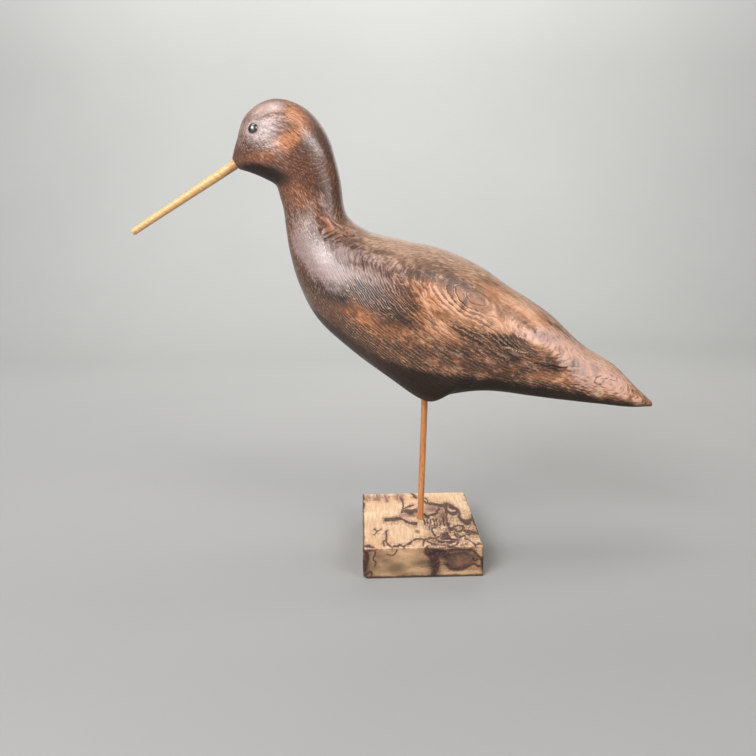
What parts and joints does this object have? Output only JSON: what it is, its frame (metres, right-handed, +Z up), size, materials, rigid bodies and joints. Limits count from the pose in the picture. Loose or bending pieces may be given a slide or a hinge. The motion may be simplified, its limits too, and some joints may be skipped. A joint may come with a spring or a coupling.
{
  "type": "shorebird decoy",
  "caption": "Carved wooden wading bird with a long drooping dowel bill and bead eyes, standing on a dowel leg in a wooden block.",
  "frame": {"origin": "middle of the block's underside, on the surface the decoy stands on", "axes": "+X from the bill towards the tail, +Y towards the bird's right side, +Z up"},
  "size_m": [0.4964, 0.127, 0.4364],
  "materials": {
    "stained_wood": "wire-brushed, dark stained and waxed, satin",
    "bill_wood": "pale dowel, smooth, satin",
    "leg_wood": "orange-tan dowel, lightly varnished",
    "eye_bead": "glossy, nearly black",
    "spalted_wood": "bare spalted wood with dark zone lines, sanded matte"
  },
  "bodies": {
    "root": {"bird": "stained_wood", "bill": "bill_wood", "left_eye": "eye_bead", "right_eye": "eye_bead", "leg": "leg_wood", "base_block": "spalted_wood"}
  },
  "joints": []
}
